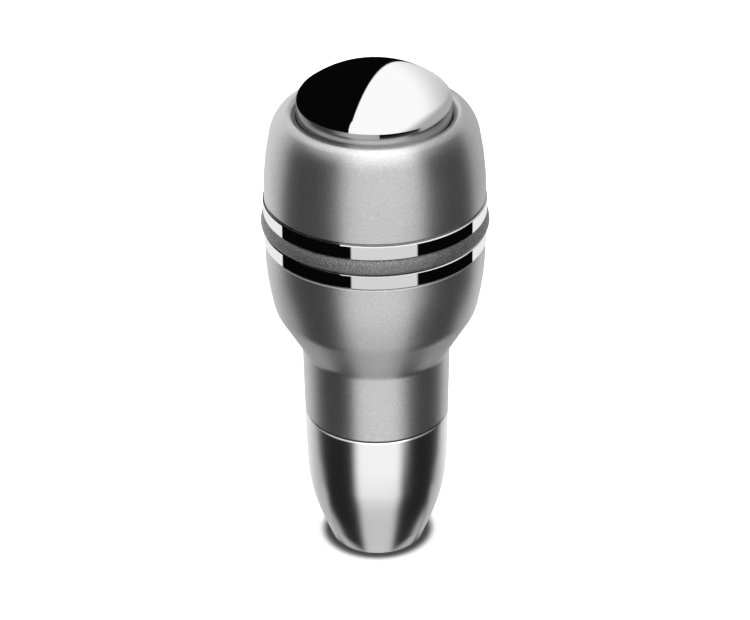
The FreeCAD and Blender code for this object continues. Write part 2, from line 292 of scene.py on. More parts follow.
def button_cap():
    """The domed cap with its skirt, spring seat and boss."""
    button_r, foot, top = levels("push_button")
    crown_z = top - CROWN_R
    edge_r = button_r - CROWN_EDGE_R
    reach = CROWN_R - CROWN_EDGE_R
    edge_z = crown_z + math.sqrt(reach**2 - edge_r**2)
    blend = (edge_r * CROWN_R / reach, crown_z + (edge_z - crown_z) * CROWN_R / reach)
    seat_z = top - SPRING_SEAT_DROP
    inner_r = button_r - BUTTON_WALL
    vault_r = CROWN_R - BUTTON_WALL
    vault_z = crown_z + math.sqrt(vault_r**2 - SPRING_SEAT_R**2)
    vault_blend = (edge_r * vault_r / reach, crown_z + (edge_z - crown_z) * vault_r / reach)
    return lathe(
        "button_cap",
        Outline(0, top)
        .line((0, seat_z + ROD_SOCKET_H), (ROD_SOCKET_R, seat_z + ROD_SOCKET_H))
        .line((ROD_SOCKET_R, seat_z - BUTTON_BOSS_DROP), (BUTTON_BOSS_R, seat_z - BUTTON_BOSS_DROP))
        .line((BUTTON_BOSS_R, seat_z), (SPRING_SEAT_R, seat_z), (SPRING_SEAT_R, vault_z))
        .face(vault_z - crown_z, -SPRING_SEAT_R)
        .arc(vault_blend, (inner_r, edge_z))
        .line((inner_r, foot), (button_r - EDGE, foot), (button_r, foot + EDGE), (button_r, edge_z))
        .arc(blend, (0, top)),
    )


def upper_body():
    """The shoulder, brow and dished lip."""
    shell_r, foot, top = levels("upper_shell")
    bore_r = levels("upper_trim_ring")[0] - RING_WALL + CARRIER_SLIP
    lip_r = levels("push_button")[0] + LIP_GAP
    roof = top - ROOF_DROP
    return lathe(
        "upper_body",
        Outline(bore_r, foot)
        .line((shell_r - JOINT_EDGE, foot), (shell_r, foot + JOINT_EDGE))
        .face(0, 1)
        .arc((SHOULDER[0], foot + SHOULDER[1]), (BROW[0], foot + BROW[1]), (lip_r + CREST_W, top))
        .arc((lip_r + FINE_EDGE, top - LIP_DROP))
        .line((lip_r, top - LIP_DROP - FINE_EDGE), (lip_r, roof), (GUIDE_SEAT_R, roof))
        .line((GUIDE_SEAT_R, roof - GUIDE_SEAT_H), (GUIDE_SEAT_R + EDGE, roof - GUIDE_SEAT_H))
        .line((SHOULDER[0] - SHELL_WALL, foot + SHOULDER[1] - SHELL_WALL / 2))
        .line((bore_r - SHELL_LAND, foot + SHELL_SOCKET_H), (bore_r, foot + SHELL_SOCKET_H))
        .line((bore_r, foot)),
    )


def lower_body():
    """The neck, the cone and the bowl."""
    shell_r, foot, top = levels("lower_shell")
    bore_r = levels("lower_trim_ring")[0] - RING_WALL
    step_r = bore_r - CARRIER_STEP
    inner_neck_r = THROAT[0] - SHELL_WALL
    cone = math.atan2(BELLY[1] - THROAT[1], BELLY[0] - THROAT[0])
    return lathe(
        "lower_body",
        Outline(FLANGE_SEAT_R, foot)
        .line((SEAM_R - JOINT_EDGE, foot), (SEAM_R, foot + JOINT_EDGE))
        .bend(THROAT[0], foot + THROAT[1], THROAT_ROUND, cone)
        .bend(BELLY[0], foot + BELLY[1], BELLY_ROUND, math.pi / 2 - BELLY_LEAN)
        .arc((shell_r, top - JOINT_EDGE))
        .line((shell_r - JOINT_EDGE, top), (bore_r, top), (bore_r, top - CARRIER_SEAT_H))
        .line((step_r, top - CARRIER_SEAT_H), (step_r, foot + BELLY[1] + SHELL_WALL))
        .line((inner_neck_r, foot + THROAT[1] + SHELL_WALL))
        .line((inner_neck_r, foot + SPIGOT_SEAT_H + SHELL_WALL), (SPIGOT_SEAT_R, foot + SPIGOT_SEAT_H))
        .line((SPIGOT_SEAT_R, foot + FLANGE_SEAT_H), (FLANGE_SEAT_R, foot + FLANGE_SEAT_H))
        .line((FLANGE_SEAT_R, foot)),
    )


def polished_ring(node):
    ring_r, low, high = levels(node)
    bore_r = ring_r - RING_WALL
    land_r = ring_r - RING_WALL / 2
    rim = high - JOINT_GAP
    return lathe(
        node.replace("trim", "polished"),
        Outline(bore_r, low)
        .line((ring_r - EDGE, low), (ring_r, low + EDGE))
        .line((ring_r, rim - RING_EDGE), (ring_r - RING_EDGE, rim))
        .line((land_r, rim), (land_r, high), (bore_r, high), (bore_r, low)),
    )


def polished_collar():
    """The bullet-shaped collar, hollow inside."""
    seam_r, foot, top = levels("collar")
    step_z = top - COLLAR_RECESS_H
    thread_z = step_z - COLLAR_THREAD_H
    inner_nose = (NOSE[0] - COLLAR_WALL, NOSE[1])
    inner_waist = (WAIST[0] - COLLAR_WALL, WAIST[1])
    return lathe(
        "polished_collar",
        Outline(COLLAR_RECESS_R, top)
        .line((COLLAR_RECESS_R + FINE_EDGE, top), (COLLAR_RECESS_R + FINE_EDGE, top - JOINT_GAP))
        .line((seam_r - EDGE, top - JOINT_GAP), (seam_r, top - JOINT_GAP - EDGE))
        .face(0, -1)
        .arc(WAIST, NOSE, (COLLAR_FOOT_R, foot + EDGE))
        .line((COLLAR_FOOT_R - EDGE, foot), (COLLAR_MOUTH_R + EDGE, foot), (COLLAR_MOUTH_R, foot + EDGE))
        .line((COLLAR_MOUTH_R, COLLAR_FLOOR), (COLLAR_FOOT_R - EDGE, COLLAR_FLOOR))
        .face(1, 2)
        .arc(inner_nose, inner_waist)
        .line((inner_waist[0], thread_z), (COLLAR_THREAD_R + EDGE, thread_z))
        .line((COLLAR_THREAD_R, thread_z + EDGE), (COLLAR_THREAD_R, step_z), (COLLAR_RECESS_R, step_z))
        .line((COLLAR_RECESS_R, top)),
    )


def leather_band():
    """The band, full in the middle and tucked in at both rings."""
    band_r, low, high = levels("grip_band")
    ring_r = levels("lower_trim_ring")[0]
    bore_r = ring_r - RING_WALL
    edge_r = ring_r - BAND_TUCK
    return lathe(
        "leather_band",
        Outline(bore_r, low)
        .line((edge_r, low))
        .face(1, 0)
        .arc((band_r, low + BAND_SWELL * (high - low)))
        .face(0, 1)
        .arc((edge_r, high))
        .line((bore_r, high), (bore_r, low)),
    )


def lever_hub():
    """The adapter with its boss turned down to the root of its thread."""
    mesh = frame["nodes"]["lever_adapter"].data.copy()
    work = bmesh.new()
    work.from_mesh(mesh)
    bmesh.ops.remove_doubles(work, verts=work.verts, dist=SAME_POINT)
    for vert in work.verts:
        x, y, z = vert.co
        r = math.hypot(x, y)
        on_boss = abs(r / MM - BOSS_R) < BOSS_NEAR and BOSS_FOOT_Z < z / MM < BOSS_TOP_Z + EDGE
        if on_boss:
            share = 1 - THREAD_DEPTH * MM / r
            vert.co.x = x * share
            vert.co.y = y * share
    bmesh.ops.recalc_face_normals(work, faces=work.faces)
    work.to_mesh(mesh)
    work.free()
    return add_piece("lever_hub", mesh)


class Tree:
    """Short words for building a node tree."""

    def __init__(self, tree):
        self.tree = tree
        self.nodes, self.links = tree.nodes, tree.links

    def add(self, kind, **values):
        """A node, with settings in small letters and inputs by their names."""
        node = self.nodes.new(kind)
        for name, value in values.items():
            if name.islower():
                setattr(node, name, value)
            else:
                self.put(node.inputs[name.replace("_", " ")], value)
        return node

    def put(self, socket, value):
        if isinstance(value, bpy.types.NodeSocket):
            self.links.new(value, socket)
        else:
            socket.default_value = value

    def in_use(self, sockets, label):
        """The socket of that name that the node's settings switch on."""
        return next(socket for socket in sockets if socket.name == label and socket.enabled)

    def math(self, operation, *values):
        node = self.add("ShaderNodeMath", operation=operation)
        for socket, value in zip(node.inputs, values):
            self.put(socket, value)
        return node.outputs["Value"]

    def fold(self, operation, first, *others):
        for value in others:
            first = self.math(operation, first, value)
        return first

    def plus(self, *values):
        return self.fold("ADD", *values)

    def less(self, *values):
        return self.fold("SUBTRACT", *values)

    def times(self, *values):
        return self.fold("MULTIPLY", *values)

    def over(self, *values):
        return self.fold("DIVIDE", *values)

    def least(self, *values):
        return self.fold("MINIMUM", *values)

    def most(self, *values):
        return self.fold("MAXIMUM", *values)

    def ramp(self, value, start, end, low=0.0, high=1.0):
        """Goes smoothly from low at start to high at end."""
        node = self.add(
            "ShaderNodeMapRange",
            interpolation_type="SMOOTHSTEP",
            Value=value,
            From_Min=start,
            From_Max=end,
            To_Min=low,
            To_Max=high,
        )
        return node.outputs["Result"]

    def mix(self, share, first, second):
        """Goes from the first value to the second with the share."""
        node = self.add("ShaderNodeMix")
        for label, part in (("Factor", share), ("A", first), ("B", second)):
            self.put(self.in_use(node.inputs, label), part)
        return self.in_use(node.outputs, "Result")

    def grey(self, tone):
        """A grey from one value."""
        return self.add("ShaderNodeCombineColor", Red=tone, Green=tone, Blue=tone).outputs["Color"]


def rule_tree(name, inputs):
    """A tree that makes a shape from named sizes."""
    tree = bpy.data.node_groups.new(name, "GeometryNodeTree")
    tree.interface.new_socket("Geometry", in_out="OUTPUT", socket_type="NodeSocketGeometry")
    tree.interface.new_socket("Finish", in_out="INPUT", socket_type="NodeSocketMaterial")
    for label in inputs:
        tree.interface.new_socket(label, in_out="INPUT", socket_type="NodeSocketFloat")
    grown = Tree(tree)
    return grown, grown.add("NodeGroupInput").outputs


def end_tree(grown, shape, finish):
    real = grown.add("GeometryNodeRealizeInstances", Geometry=shape)
    dressed = grown.add("GeometryNodeSetMaterial", Geometry=real.outputs["Geometry"], Material=finish)
    grown.links.new(dressed.outputs["Geometry"], grown.add("NodeGroupOutput").inputs["Geometry"])
    return grown.tree


def thread_tree():
    """A ridge that winds up a cylinder, right-handed, and runs out at both ends."""
    sizes = ("Radius", "Foot", "Pitch", "Turns", "Depth", "Root Width", "Crest Width", "Lean")
    grown, given = rule_tree("thread_ridge", sizes)
    spiral = grown.add(
        "GeometryNodeCurveSpiral",
        Resolution=THREAD_STEPS,
        Rotations=given["Turns"],
        Start_Radius=given["Radius"],
        End_Radius=given["Radius"],
        Height=grown.times(given["Turns"], given["Pitch"]),
        Reverse=True,
    )
    lift = grown.add("ShaderNodeCombineXYZ", Z=given["Foot"])
    raised = grown.add(
        "GeometryNodeTransform",
        Geometry=spiral.outputs["Curve"],
        Translation=lift.outputs["Vector"],
    )
    upright = grown.add("GeometryNodeSetCurveNormal", mode="Z_UP", Curve=raised.outputs["Geometry"])

    ridge = grown.add("GeometryNodeCurvePrimitiveQuadrilateral", mode="TRAPEZOID", Offset=0.0)
    for label, size in (("Height", "Depth"), ("Bottom Width", "Root Width"), ("Top Width", "Crest Width")):
        grown.links.new(given[size], grown.in_use(ridge.inputs, label))
    turn = grown.add("ShaderNodeCombineXYZ", Z=given["Lean"])
    half_out = grown.times(given["Depth"], -0.5, grown.math("SIGN", given["Lean"]))
    proud = grown.add("ShaderNodeCombineXYZ", X=half_out)
    laid = grown.add(
        "GeometryNodeTransform",
        Geometry=ridge.outputs["Curve"],
        Translation=proud.outputs["Vector"],
        Rotation=turn.outputs["Vector"],
    )

    along = grown.add("GeometryNodeSplineParameter").outputs["Factor"]
    turns_in = grown.times(along, given["Turns"])
    turns_left = grown.less(given["Turns"], turns_in)
    run_out = grown.ramp(grown.least(turns_in, turns_left), 0.0, RUN_OUT_TURNS, RUN_OUT_SHARE)
    swept = grown.add(
        "GeometryNodeCurveToMesh",
        Curve=upright.outputs["Curve"],
        Profile_Curve=laid.outputs["Geometry"],
        Scale=run_out,
        Fill_Caps=True,
    )
    return end_tree(grown, swept.outputs["Mesh"], given["Finish"])


def coil_height(grown, given):
    """The wire's height along the coil: a closed turn, the open turns and a closed turn."""
    rise = grown.less(given["High"], given["Low"])
    closed = grown.over(1.0, given["Turns"])
    closed_rise = grown.over(grown.times(given["Wire Radius"], 2.0), rise)
    along = grown.add("GeometryNodeSplineParameter").outputs["Factor"]
    from_end = grown.least(along, grown.less(1.0, along))
    first = grown.times(grown.over(grown.least(from_end, closed), closed), closed_rise)

    open_share = grown.less(1.0, grown.times(closed, 2.0))
    open_part = grown.over(grown.less(along, closed), open_share)
    open_rise = grown.less(1.0, grown.times(closed_rise, 2.0))
    climb = grown.times(grown.least(grown.most(open_part, 0.0), 1.0), open_rise)

    past_half = grown.math("GREATER_THAN", along, 0.5)
    last = grown.less(grown.times(closed_rise, 2.0), grown.times(first, 2.0))
    level = grown.plus(first, climb, grown.times(past_half, last))
    return grown.plus(grown.times(level, rise), given["Low"])


def spring_tree():
    """A wire wound into a coil with a closed turn at each end, ground flat."""
    grown, given = rule_tree("wound_spring", ("Coil Radius", "Wire Radius", "Turns", "Low", "High"))
    spiral = grown.add(
        "GeometryNodeCurveSpiral",
        Resolution=COIL_STEPS,
        Rotations=given["Turns"],
        Start_Radius=given["Coil Radius"],
        End_Radius=given["Coil Radius"],
        Height=0.0,
        Reverse=True,
    )
    lift = grown.add("ShaderNodeCombineXYZ", Z=coil_height(grown, given))
    wound = grown.add(
        "GeometryNodeSetPosition",
        Geometry=spiral.outputs["Curve"],
        Offset=lift.outputs["Vector"],
    )
    upright = grown.add("GeometryNodeSetCurveNormal", mode="Z_UP", Curve=wound.outputs["Geometry"])
    wire = grown.add("GeometryNodeCurvePrimitiveCircle", Resolution=WIRE_STEPS, Radius=given["Wire Radius"])
    swept = grown.add(
        "GeometryNodeCurveToMesh",
        Curve=upright.outputs["Curve"],
        Profile_Curve=wire.outputs["Curve"],
        Fill_Caps=True,
    )
    position = grown.add("GeometryNodeInputPosition").outputs["Position"]
    here = grown.add("ShaderNodeSeparateXYZ", Vector=position).outputs
    ground = grown.most(grown.least(here["Z"], given["High"]), given["Low"])
    flat = grown.add("ShaderNodeCombineXYZ", X=here["X"], Y=here["Y"], Z=ground)
    cut = grown.add(
        "GeometryNodeSetPosition",
        Geometry=swept.outputs["Mesh"],
        Position=flat.outputs["Vector"],
    )
    return end_tree(grown, cut.outputs["Geometry"], given["Finish"])


def grow(name, tree, finish, **sizes):
    """A piece made by a tree, as a plain mesh."""
    start = bpy.data.objects.new(name + "_rule", bpy.data.meshes.new(name + "_rule"))
    bpy.context.scene.collection.objects.link(start)
    rule = start.modifiers.new("rule", "NODES")
    rule.node_group = tree
    for socket in tree.interface.items_tree:
        if socket.in_out == "INPUT":
            label = socket.name.replace(" ", "_").lower()
            rule[socket.identifier] = finish if label == "finish" else float(sizes[label])
    made = start.evaluated_get(bpy.context.evaluated_depsgraph_get())
    mesh = bpy.data.meshes.new_from_object(made)
    mesh.name = name
    start.modifiers.clear()
    bpy.data.objects.remove(start)
    work = bmesh.new()
    work.from_mesh(mesh)
    bmesh.ops.remove_doubles(work, verts=work.verts, dist=SAME_POINT)
    bmesh.ops.recalc_face_normals(work, faces=work.faces)
    work.to_mesh(mesh)
    work.free()
    return add_piece(name, mesh)


def thread(name, tree, finish, root_r, foot, turns, way):
    """A thread's ridge, which stands out from its root where way is 1 and in where it is -1."""
    return grow(
        name,
        tree,
        finish,
        radius=(root_r - way * THREAD_BASE) * MM,
        foot=foot * MM,
        pitch=THREAD_PITCH * MM,
        turns=turns,
        depth=(THREAD_DEPTH + THREAD_BASE) * MM,
        root_width=THREAD_ROOT_W * MM,
        crest_width=THREAD_CREST_W * MM,
        lean=-way * math.pi / 2,
    )


# Noise: its detail, the broad differences in waves per metre, and the values it mostly keeps between
GRAIN_DETAIL = 6.0
BROAD_SCALE = 60.0
BROAD_DETAIL = 3.0
NOISE_FROM = 0.3
NOISE_TO = 0.7


def shared_group(name):
    """A shader node group with a place and a scale, and a mask and a height to put out."""
    tree = bpy.data.node_groups.new(name, "ShaderNodeTree")
    tree.interface.new_socket("Place", in_out="INPUT", socket_type="NodeSocketVector")
    tree.interface.new_socket("Scale", in_out="INPUT", socket_type="NodeSocketFloat")
    tree.interface.new_socket("Mask", in_out="OUTPUT", socket_type="NodeSocketFloat")
    tree.interface.new_socket("Height", in_out="OUTPUT", socket_type="NodeSocketFloat")
    group = Tree(tree)
    given = group.add("NodeGroupInput").outputs
    out = group.add("NodeGroupOutput").inputs
    broad = group.add("ShaderNodeTexNoise", Vector=given["Place"], Scale=BROAD_SCALE, Detail=BROAD_DETAIL)
    group.links.new(broad.outputs["Fac"], out["Mask"])
    return group, given, out


def fine_grain():
    """Fine grain under broad differences in polish, the same in every direction."""
    group, given, out = shared_group("fine_grain")
    fine = group.add("ShaderNodeTexNoise", Vector=given["Place"], Scale=given["Scale"], Detail=GRAIN_DETAIL)
    group.links.new(fine.outputs["Fac"], out["Height"])
    return group.tree


def tool_marks():
    """Fine rings left by turning, which follow radius and height."""
    group, given, out = shared_group("tool_marks")
    place = group.add("ShaderNodeSeparateXYZ", Vector=given["Place"]).outputs
    squares = group.plus(group.math("POWER", place["X"], 2.0), group.math("POWER", place["Y"], 2.0))
    section = group.add("ShaderNodeCombineXYZ", X=group.math("SQRT", squares), Z=place["Z"])
    rings = group.add(
        "ShaderNodeTexNoise",
        Vector=section.outputs["Vector"],
        Scale=given["Scale"],
        Detail=GRAIN_DETAIL,
    )
    group.links.new(rings.outputs["Fac"], out["Height"])
    return group.tree


def new_material(name):
    material = bpy.data.materials.new(name)
    material.use_nodes = True
    tree = Tree(material.node_tree)
    surface = tree.nodes["Principled BSDF"].inputs
    place = tree.add("ShaderNodeTexCoord").outputs["Object"]
    return material, tree, surface, place


def spread(tree, source, low, high):
    """Spreads a noise value over a new range."""
    node = tree.add(
        "ShaderNodeMapRange",
        Value=source,
        From_Min=NOISE_FROM,
        From_Max=NOISE_TO,
        To_Min=low,
        To_Max=high,
    )
    return node.outputs["Result"]


def metal(name, grain, scale, depth, tone, rough=None, metallic=1.0, tone_range=0.0):
    """A metal with varied polish and a shallow grain: grains per metre, and depth in metres."""
    material, tree, surface, place = new_material(name)
    surface["Metallic"].default_value = metallic
    surface["Base Color"].default_value = (tone, tone, tone, 1)
    marks = tree.add("ShaderNodeGroup", node_tree=grain)
    tree.put(marks.inputs["Place"], place)
    tree.put(marks.inputs["Scale"], scale)
    if tone_range:
        shade = spread(tree, marks.outputs["Height"], tone - tone_range, tone + tone_range)
        tree.put(surface["Base Color"], tree.grey(shade))
    if rough:
        tree.put(surface["Roughness"], spread(tree, marks.outputs["Mask"], *rough))
    else:
        surface["Roughness"].default_value = 0.0
    bump = tree.add("ShaderNodeBump", Distance=depth, Height=marks.outputs["Height"])
    tree.put(surface["Normal"], bump.outputs["Normal"])
    return material


def polished_chrome(grain):
    """Mirror-bright chrome, on the button and the rings."""
    return metal("polished_chrome", grain, scale=300.0, depth=0.0000002, tone=0.92)


def soft_chrome(grain):
    """Chrome with a softer polish, on the collar."""
    return metal("soft_chrome", grain, scale=300.0, depth=0.0000004, tone=0.88, rough=(0.2, 0.23))


def satin_metal(grain):
    """Satin metal with a fine even grain, on both shells."""
    return metal(
        "satin_metal",
        grain,
        scale=2600.0,
        depth=0.000012,
        tone=0.66,
        rough=(0.3, 0.35),
        metallic=0.94,
        tone_range=0.07,
    )


def plain_steel(grain):
    return metal("plain_steel", grain, scale=900.0, depth=0.000002, tone=0.6, rough=(0.28, 0.4))


def turned_alloy(grain):
    return metal("turned_alloy", grain, scale=4000.0, depth=0.000005, tone=0.72, rough=(0.28, 0.38))


# Leather: pebbles per metre, the noise that bends them, their height in metres, and the finish
PEBBLE_SCALE = 1500.0
CREASE_WIDTH = 0.2
BEND_SCALE = 900.0
BEND_DETAIL = 5.0
BEND_REACH = (0.0004, 0.0004, 0.0004)
BEND_HEIGHT = 0.8
PEBBLE_DEPTH = 0.00004
CREASE_TONE = 0.15
PEBBLE_TONE = 0.27
LEATHER_ROUGH = (0.3, 0.42)
LEATHER_SHEEN = 0.55
LEATHER_IOR = 1.75
LEATHER_SPECULAR = 0.9


def band_leather():
    """Grained leather: small pebbles between fine creases, lighter on the pebbles."""
    material, tree, surface, place = new_material("band_leather")
    warp = tree.add("ShaderNodeTexNoise", Vector=place, Scale=BEND_SCALE, Detail=BEND_DETAIL)
    bent = tree.add("ShaderNodeVectorMath", operation="MULTIPLY_ADD")
    for socket, value in zip(bent.inputs, (warp.outputs["Color"], BEND_REACH, place)):
        tree.put(socket, value)
    pebbles = tree.add(
        "ShaderNodeTexVoronoi",
        feature="DISTANCE_TO_EDGE",
        Vector=bent.outputs["Vector"],
        Scale=PEBBLE_SCALE,
    )
    rise = tree.add("ShaderNodeMapRange", Value=pebbles.outputs["Distance"], From_Max=CREASE_WIDTH)
    pebble = rise.outputs["Result"]
    height = tree.math("MULTIPLY_ADD", warp.outputs["Fac"], BEND_HEIGHT, pebble)
    bump = tree.add("ShaderNodeBump", Distance=PEBBLE_DEPTH, Height=height)
    tree.put(surface["Normal"], bump.outputs["Normal"])
    tree.put(surface["Base Color"], tree.grey(tree.mix(pebble, CREASE_TONE, PEBBLE_TONE)))
    tree.put(surface["Roughness"], spread(tree, warp.outputs["Fac"], *LEATHER_ROUGH))
    surface["Metallic"].default_value = LEATHER_SHEEN
    surface["IOR"].default_value = LEATHER_IOR
    surface["Specular IOR Level"].default_value = LEATHER_SPECULAR
    return material


# Moulded pieces: grains per metre, their detail, their depth in metres, and the range of roughness
MOULD_SCALE = 3500.0
MOULD_DETAIL = 2.0
MOULD_DEPTH = 0.00001
MOULD_RANGE = 0.08


def moulded(name, tone, rough):
    """A moulded plastic or rubber with a fine matt grain."""
    material, tree, surface, place = new_material(name)
    surface["Base Color"].default_value = (tone, tone, tone, 1)
    noise = tree.add("ShaderNodeTexNoise", Vector=place, Scale=MOULD_SCALE, Detail=MOULD_DETAIL)
    grain = noise.outputs["Fac"]
    tree.put(surface["Roughness"], spread(tree, grain, rough - MOULD_RANGE, rough + MOULD_RANGE))
    bump = tree.add("ShaderNodeBump", Distance=MOULD_DEPTH, Height=grain)
    tree.put(surface["Normal"], bump.outputs["Normal"])
    return material


def set_camera():
    lens = bpy.data.cameras.new("view")
    lens.sensor_width = SENSOR
    lens.lens = FOCAL_PX / PICTURE_W * SENSOR
    lens.clip_start = NEAREST
    camera = bpy.data.objects.new("view", lens)
    bpy.context.scene.collection.objects.link(camera)
    tilt = Matrix.Rotation(math.pi / 2 - VIEW_ELEVATION, 4, "X")
    roll = Matrix.Rotation(VIEW_ROLL, 4, "Z")
    back = Matrix.Translation((0, 0, VIEW_DISTANCE))
    camera.matrix_world = Matrix.Translation(VIEW_AIM) @ tilt @ back @ roll
    bpy.context.scene.camera = camera


# Studio round the knob. Rise is a direction's degrees above the level, and facing is the degrees
# round from the camera that a wall faces to mirror it. A fade goes from its first value to its
# second. It gives 0 at its start and 1 at its end, or its third and fourth values there.
BLACK_LEVEL = 0.002
PLAIN_LEVEL = 0.75
BOUNCED_FROM = 1.5
BOUNCED_SHARE = 0.45

# Soft panels, which every finish but polished chrome mirrors: one in front, with its brightness
# at each rise, two at the sides, and two dimmer stretches overhead and low behind
PANEL_SOFT = 3.5
SOFT_BLACK = 0.014
TOP_LEVEL = 1.8
FRONT_LEVELS = (
    (-90, 0.64),
    (-55, 0.62),
    (-48, 0.7),
    (-41, 0.9),
    (-37, 1.15),
    (-34, 1.3),
    (-32, 0.78),
    (-29, 0.66),
    (-22, 0.88),
    (10, 0.9),
    (28, 1.05),
    (50, 1.6),
    (75, 1.8),
    (90, 1.8),
)
FRONT_LEFT = (-36.0, -52.0, -17.8, -14.8)
FRONT_RIGHT = (-31.5, -35.5, 26.0, 19.0)
FRONT_RIGHT_LOW = (-38.0, -54.0, 0.0, 3.0)
SIDE_LEFT = (-30.0, -42.0, 56.5, 46.0)
SIDE_RIGHT = (-30.0, -42.0, 61.5, 49.0)
SIDE_LOW = (-49.0, -60.0, 0.0, 6.0)
SIDE_LEVEL = (54.0, 76.0, 0.5, 0.9)
DIM_ACROSS = (50.0, 56.0, 0.0, 0.35)
DIM_UP = (-31.0, -27.0)
BEHIND_AWAY = (0.16, 0.36)
BEHIND_LOW = (-44.0, -54.0, 0.0, 0.48)
OVERHEAD_UP = (18.0, 62.0)
OVERHEAD_ACROSS = (-30.0, 30.0, 0.95, 0.55)

# Sharp panels, which polished chrome mirrors: a strip and two ends for the rings, a grey stretch
# for the button's wall, and a white roof for its crown, with a black flag on the left and a black
# line. ROOF_RISE is where the roof starts, on the left and on the right of the line's left end.
EDGE_SOFT = 0.6
STRIP_LEFT = -12.5
STRIP_RIGHT = 21.8
STRIP_LEVEL = 0.7
ENDS_TURN = 2.1
ENDS_FROM = (57.9, 58.9)
ENDS_LEVEL = 0.88
WALL_RISE = (-27.1, -26.6)
WALL_LEFT = (-38.0, -14.0, 0.045, 0.42)
WALL_RIGHT = (-8.0, 15.0, 1.0, 0.76)
LINE_LEFT = (2.0, 4.0)
LINE_RIGHT = (39.0, 33.0)
LINE_TOP = (-20.0, -22.0)
FLAG_WAY = (-0.935, 0.354, 0.011)
FLAG_REACH = 0.264
FLAG_SOFT = 0.01
ROOF_WAY = (-0.838, -0.313, 0.446)
ROOF_LEVEL = (-0.79, -0.21, 0.42, 1.03)
ROOF_RISE = (-21.0, -24.5)
ROOF_SOFT = 0.4


def front_level(tree, rise):
    """How bright the front panel is, on a curve that takes -90 to 90 degrees as 0 to 1."""
    shades = tree.add("ShaderNodeFloatCurve", Value=tree.over(tree.plus(rise, 90.0), 180.0))
    curve = shades.mapping.curves[0]
    spots = [((angle + 90) / 180, level / TOP_LEVEL) for angle, level in FRONT_LEVELS]
    for spot in spots[1:-1]:
        curve.points.new(*spot)
    curve.points[0].location = spots[0]
    curve.points[-1].location = spots[-1]
    shades.mapping.update()
    return tree.times(shades.outputs["Value"], TOP_LEVEL)


def soft_level(tree, facing, rise, away):
    """How bright the studio is to every finish but polished chrome."""
    left = tree.ramp(rise, *FRONT_LEFT)
    right = tree.less(tree.ramp(rise, *FRONT_RIGHT), tree.ramp(rise, *FRONT_RIGHT_LOW))
    inside = tree.least(tree.less(facing, left), tree.less(right, facing))
    front = tree.times(front_level(tree, rise), tree.ramp(inside, -PANEL_SOFT, PANEL_SOFT))

    past_left = tree.less(tree.times(facing, -1.0), tree.ramp(rise, *SIDE_LEFT))
    past_right = tree.less(facing, tree.ramp(rise, *SIDE_RIGHT))
    past = tree.less(tree.most(past_left, past_right), tree.ramp(rise, *SIDE_LOW))
    shade = tree.ramp(tree.math("ABSOLUTE", facing), *SIDE_LEVEL)
    dimmed = tree.times(tree.ramp(facing, *DIM_ACROSS), tree.ramp(rise, *DIM_UP))
    sides = tree.times(tree.ramp(past, -PANEL_SOFT, PANEL_SOFT), shade, tree.less(1.0, dimmed))

    behind = tree.times(tree.ramp(away, *BEHIND_AWAY), tree.ramp(rise, *BEHIND_LOW))
    overhead = tree.times(tree.ramp(rise, *OVERHEAD_UP), tree.ramp(facing, *OVERHEAD_ACROSS))
    return tree.plus(tree.most(front, sides, behind, overhead), SOFT_BLACK)


def dot_with(tree, place, way):
    node = tree.add("ShaderNodeVectorMath", operation="DOT_PRODUCT")
    for socket, value in zip(node.inputs, (place, way)):
        tree.put(socket, value)
    return node.outputs["Value"]


def sharp_level(tree, facing, rise, place):
    """How bright the studio is to polished chrome."""
    strip_left = tree.ramp(facing, STRIP_LEFT - EDGE_SOFT, STRIP_LEFT + EDGE_SOFT)
    strip_right = tree.ramp(facing, STRIP_RIGHT + EDGE_SOFT, STRIP_RIGHT - EDGE_SOFT)
    strip = tree.times(strip_left, strip_right, STRIP_LEVEL)
    turned = tree.math("ABSOLUTE", tree.less(facing, ENDS_TURN))
    rings = tree.plus(strip, tree.times(tree.ramp(turned, *ENDS_FROM), ENDS_LEVEL))

    wall = tree.times(tree.ramp(facing, *WALL_LEFT), tree.ramp(facing, *WALL_RIGHT))
    across = tree.times(tree.ramp(facing, *LINE_LEFT), tree.ramp(facing, *LINE_RIGHT))
    line = tree.times(across, tree.ramp(rise, *LINE_TOP))
    flag = tree.ramp(dot_with(tree, place, FLAG_WAY), FLAG_REACH + FLAG_SOFT, FLAG_REACH - FLAG_SOFT)
    shade = tree.ramp(dot_with(tree, place, ROOF_WAY), *ROOF_LEVEL)
    roof = tree.times(flag, shade, tree.less(1.0, line))

    low = tree.mix(tree.ramp(rise, *WALL_RISE), rings, wall)
    above = tree.less(rise, tree.ramp(facing, *LINE_LEFT, *ROOF_RISE))
    return tree.mix(tree.ramp(above, -ROOF_SOFT, ROOF_SOFT), low, roof)


def studio_level(tree, place, sharp):
    """How bright the studio is in each direction."""
    parts = tree.add("ShaderNodeSeparateXYZ", Vector=place).outputs
    across, away, up = parts["X"], parts["Y"], parts["Z"]
    rise = tree.math("DEGREES", tree.math("ARCSINE", up))
    ahead = tree.less(math.cos(VIEW_ELEVATION), away)
    facing = tree.math("DEGREES", tree.math("ARCTAN2", across, ahead))
    soft = soft_level(tree, facing, rise, away)
    level = tree.mix(sharp, soft, sharp_level(tree, facing, rise, place))
    return tree.plus(level, BLACK_LEVEL)


def mix_light(tree, share, first, second):
    node = tree.add("ShaderNodeMixShader", Fac=share)
    tree.put(node.inputs[1], first)
    tree.put(node.inputs[2], second)
    return node.outputs["Shader"]


